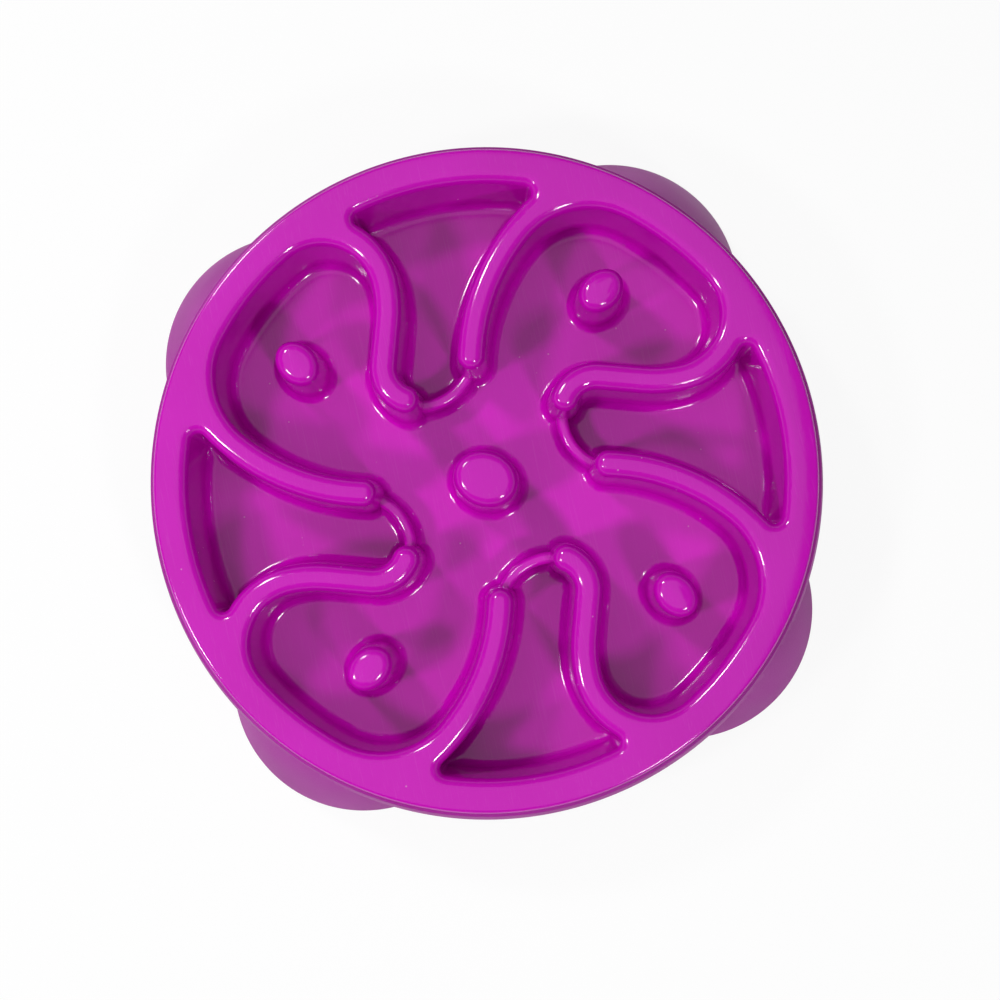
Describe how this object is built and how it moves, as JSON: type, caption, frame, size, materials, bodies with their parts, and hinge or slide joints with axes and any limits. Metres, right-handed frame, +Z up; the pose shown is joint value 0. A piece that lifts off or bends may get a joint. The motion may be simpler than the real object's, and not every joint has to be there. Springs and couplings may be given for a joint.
{
  "type": "slow feeder bowl",
  "caption": "Round slow feeder pet bowl with a raised swirling maze, islands, a flared skirt with round feet and rubber pads below.",
  "frame": {"origin": "on the table, under the middle of the bowl", "axes": "+Z up out of the bowl, -Y towards the front, +X to the right; the round feet stand on the diagonals"},
  "size_m": [0.2796, 0.2796, 0.05],
  "materials": {
    "plastic": "glossy inside and on the rim, finely textured satin on the skirt",
    "rubber": "matte"
  },
  "bodies": {
    "root": {"bowl": "plastic", "foot_pad_front_right": "rubber", "foot_pad_back_right": "rubber", "foot_pad_back_left": "rubber", "foot_pad_front_left": "rubber"}
  },
  "joints": []
}
